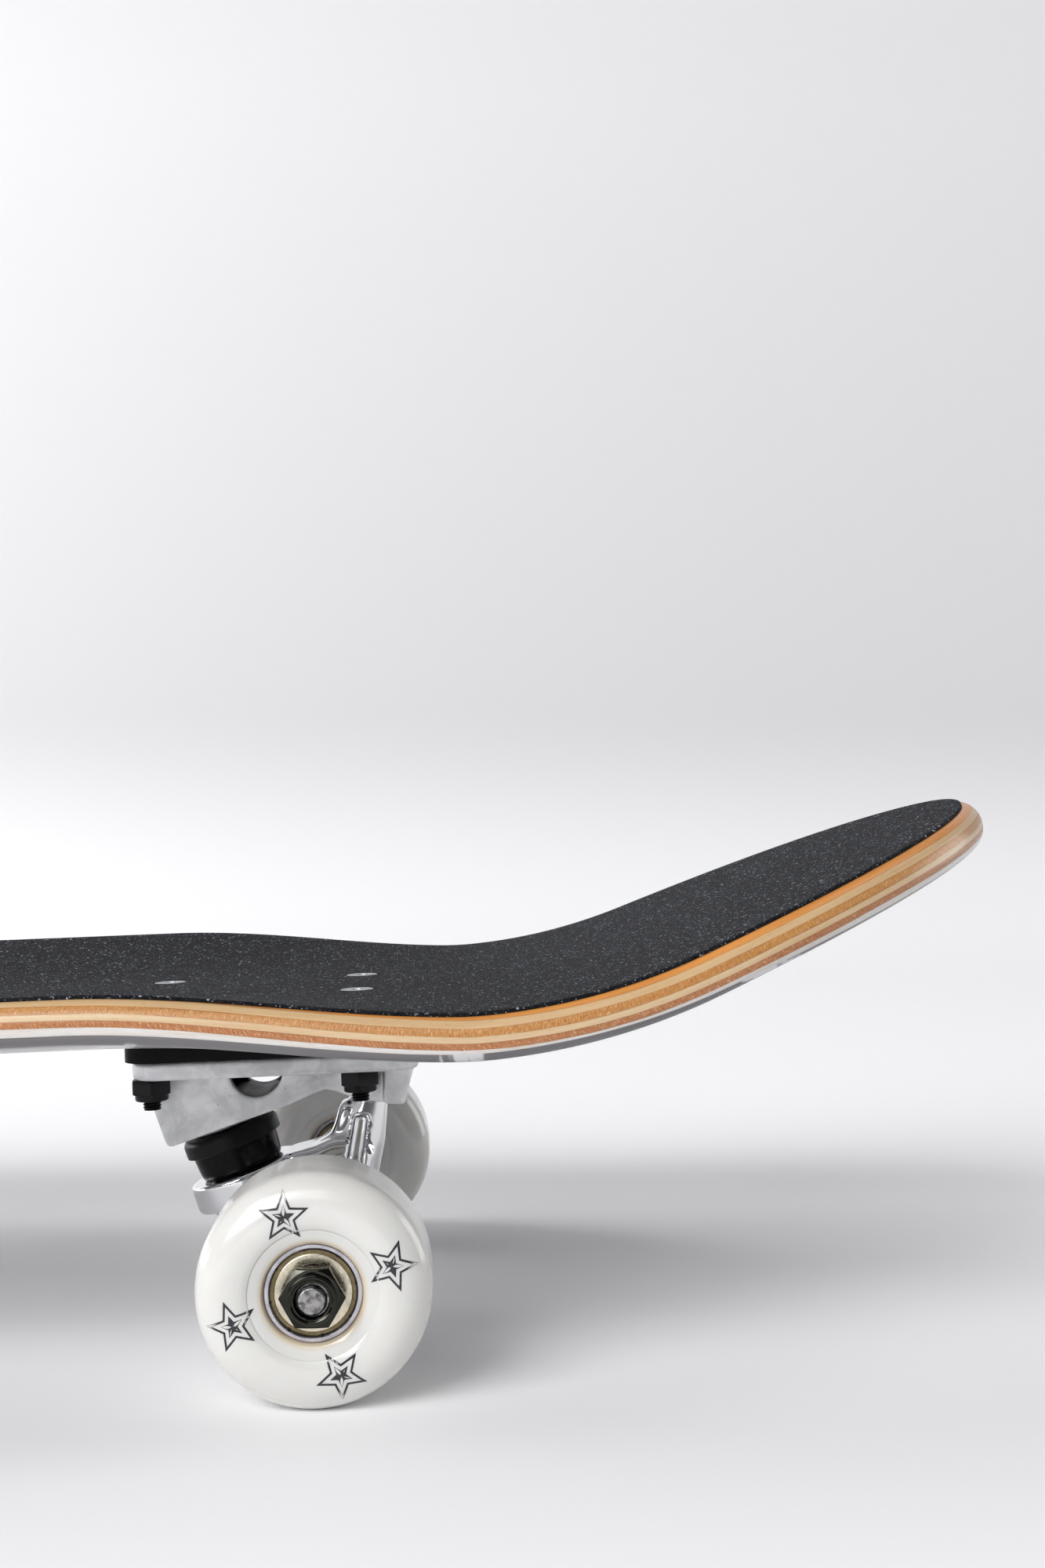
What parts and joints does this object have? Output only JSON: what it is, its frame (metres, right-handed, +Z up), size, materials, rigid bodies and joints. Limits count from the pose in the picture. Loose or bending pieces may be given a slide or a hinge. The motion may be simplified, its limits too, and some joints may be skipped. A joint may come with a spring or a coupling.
{
  "type": "skateboard",
  "caption": "Street skateboard: concave maple deck with grip tape and two kicked ends, sprung leaning trucks and urethane wheels on ball bearings.",
  "frame": {"origin": "on the ground, below the middle of the overall length, on the centre line", "axes": "+X towards the nose, +Y towards the left side, +Z up"},
  "size_m": [0.7994, 0.2036, 0.136],
  "materials": {
    "maple_plies": "seven laminated plies, clear lacquer on the rim, printed and glossy below",
    "grip": "abrasive silicon carbide grit on a black sheet",
    "black_plastic": "moulded, satin",
    "wheel_urethane": "cast urethane, glossy face and turned tread",
    "bushing_urethane": "cast urethane, glossy",
    "cast_aluminium": "tumbled raw casting, matte",
    "polished_aluminium": "polished casting",
    "steel": "ground and zinc plated",
    "black_steel": "black oxide, satin"
  },
  "bodies": {
    "board": {"deck": "maple_plies", "grip_tape": "grip", "nose_riser_pad": "black_plastic", "nose_baseplate": "cast_aluminium", "nose_pivot_cup": "black_plastic", "nose_kingpin": "steel", "nose_kingpin_nut": "steel", "nose_upper_washer": "black_steel", "nose_upper_bushing": "bushing_urethane", "nose_lower_bushing": "bushing_urethane", "nose_lower_washer": "black_steel", "nose_bolt_outer_left": "steel", "nose_locknut_outer_left": "black_steel", "nose_bolt_outer_right": "steel", "nose_locknut_outer_right": "black_steel", "nose_bolt_inner_left": "steel", "nose_locknut_inner_left": "black_steel", "nose_bolt_inner_right": "steel", "nose_locknut_inner_right": "black_steel", "tail_riser_pad": "black_plastic", "tail_baseplate": "cast_aluminium", "tail_pivot_cup": "black_plastic", "tail_kingpin": "steel", "tail_kingpin_nut": "steel", "tail_upper_washer": "black_steel", "tail_upper_bushing": "bushing_urethane", "tail_lower_bushing": "bushing_urethane", "tail_lower_washer": "black_steel", "tail_bolt_outer_left": "steel", "tail_locknut_outer_left": "black_steel", "tail_bolt_outer_right": "steel", "tail_locknut_outer_right": "black_steel", "tail_bolt_inner_left": "steel", "tail_locknut_inner_left": "black_steel", "tail_bolt_inner_right": "steel", "tail_locknut_inner_right": "black_steel"},
    "nose_hanger_set": {"nose_hanger": "polished_aluminium", "nose_axle": "steel", "nose_left_bearing_sleeve": "steel", "nose_left_axle_nut": "black_steel", "nose_right_bearing_sleeve": "steel", "nose_right_axle_nut": "black_steel"},
    "nose_left_wheel_set": {"nose_left_wheel": "wheel_urethane", "nose_left_outer_bearing_race": "steel", "nose_left_inner_bearing_race": "steel"},
    "nose_right_wheel_set": {"nose_right_wheel": "wheel_urethane", "nose_right_outer_bearing_race": "steel", "nose_right_inner_bearing_race": "steel"},
    "tail_hanger_set": {"tail_hanger": "polished_aluminium", "tail_axle": "steel", "tail_left_bearing_sleeve": "steel", "tail_left_axle_nut": "black_steel", "tail_right_bearing_sleeve": "steel", "tail_right_axle_nut": "black_steel"},
    "tail_left_wheel_set": {"tail_left_wheel": "wheel_urethane", "tail_left_outer_bearing_race": "steel", "tail_left_inner_bearing_race": "steel"},
    "tail_right_wheel_set": {"tail_right_wheel": "wheel_urethane", "tail_right_outer_bearing_race": "steel", "tail_right_inner_bearing_race": "steel"}
  },
  "joints": [
    {"name": "nose_truck_lean", "type": "hinge", "parent": "board", "child": "nose_hanger_set", "pos_m": [0.20052, 0, 0.03242], "axis": [0.778, 0, 0.6282], "range_deg": [-12, 12], "stiffness_Nm_per_rad": 30, "deforming": ["nose_upper_bushing", "nose_lower_bushing"]},
    {"name": "nose_left_wheel_spin", "type": "hinge", "parent": "nose_hanger_set", "child": "nose_left_wheel_set", "pos_m": [0.22357, 0.082, 0.0265], "axis": [0, 1, 0], "continuous": true},
    {"name": "nose_right_wheel_spin", "type": "hinge", "parent": "nose_hanger_set", "child": "nose_right_wheel_set", "pos_m": [0.22357, -0.082, 0.0265], "axis": [0, 1, 0], "continuous": true},
    {"name": "tail_truck_lean", "type": "hinge", "parent": "board", "child": "tail_hanger_set", "pos_m": [-0.20902, 0, 0.03242], "axis": [-0.778, 0, 0.6282], "range_deg": [-12, 12], "stiffness_Nm_per_rad": 30, "deforming": ["tail_upper_bushing", "tail_lower_bushing"]},
    {"name": "tail_left_wheel_spin", "type": "hinge", "parent": "tail_hanger_set", "child": "tail_left_wheel_set", "pos_m": [-0.23207, 0.082, 0.0265], "axis": [0, 1, 0], "continuous": true},
    {"name": "tail_right_wheel_spin", "type": "hinge", "parent": "tail_hanger_set", "child": "tail_right_wheel_set", "pos_m": [-0.23207, -0.082, 0.0265], "axis": [0, 1, 0], "continuous": true}
  ]
}
